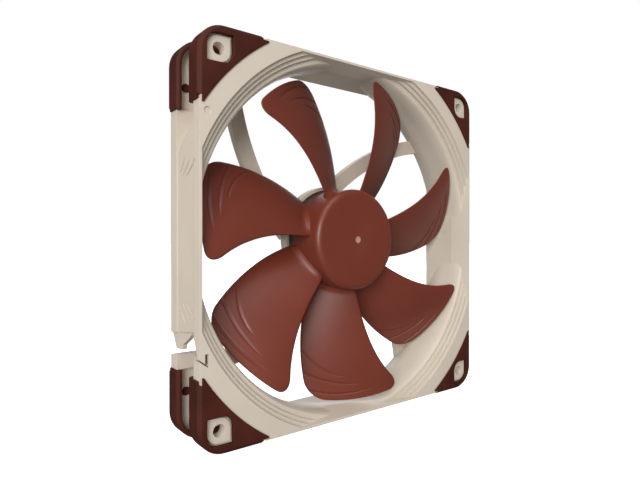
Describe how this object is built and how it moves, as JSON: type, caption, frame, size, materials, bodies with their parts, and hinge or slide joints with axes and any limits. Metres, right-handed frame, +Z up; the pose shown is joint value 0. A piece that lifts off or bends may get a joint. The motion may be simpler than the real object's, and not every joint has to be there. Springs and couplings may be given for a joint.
{
  "type": "case fan",
  "caption": "Square axial case fan with a stepped intake, curved struts, rubber corners and a swept-blade impeller that spins on a sleeve bearing.",
  "frame": {"origin": "on the rotor axis, midway between the intake and exhaust faces", "axes": "+Z up with the fan standing on its lower corners, -Y is the intake side, +X right as seen from the intake side"},
  "size_m": [0.14, 0.0258, 0.14],
  "materials": {
    "cream_plastic": "moulded, fine satin",
    "rubber": "soft moulded rubber, matt",
    "brown_plastic": "moulded, satin",
    "steel": "drawn sheet",
    "polished_steel": "ground",
    "magnet": "bonded ferrite, matt",
    "brass": "turned",
    "bronze": "sintered, oiled",
    "white_nylon": "moulded",
    "black_plastic": "moulded",
    "laminations": "stamped sheets",
    "copper_wire": "enamelled winding",
    "board": "coated laminate",
    "ceramic": "fired",
    "solder": "tinned",
    "foil": "satin, blank"
  },
  "bodies": {
    "housing": {"frame": "cream_plastic", "pad_front_top_right": "rubber", "pad_front_top_left": "rubber", "pad_front_bottom_left": "rubber", "pad_front_bottom_right": "rubber", "pad_rear_top_right": "rubber", "pad_rear_top_left": "rubber", "pad_rear_bottom_left": "rubber", "pad_rear_bottom_right": "rubber", "bearing_shell": "brass", "bearing_sleeve": "bronze", "thrust_pad": "white_nylon", "oil_seal": "black_plastic", "stator_core": "laminations", "upper_insulator": "white_nylon", "lower_insulator": "white_nylon", "coil_1": "copper_wire", "coil_2": "copper_wire", "coil_3": "copper_wire", "coil_4": "copper_wire", "circuit_board": "board", "hall_sensor": "black_plastic", "driver_chip": "black_plastic", "capacitor_1": "ceramic", "capacitor_2": "ceramic", "resistor_1": "black_plastic", "resistor_2": "black_plastic", "solder_pad_1": "solder", "solder_pad_2": "solder", "solder_pad_3": "solder", "solder_pad_4": "solder", "rear_disc": "foil"},
    "rotor": {"impeller": "brown_plastic", "rotor_yoke": "steel", "ring_magnet": "magnet", "shaft_boss": "brass", "shaft": "polished_steel", "retaining_clip": "polished_steel"}
  },
  "joints": [
    {"name": "rotor_spin", "type": "hinge", "parent": "housing", "child": "rotor", "pos_m": [0, 0, 0], "axis": [0, -1, 0], "continuous": true}
  ]
}
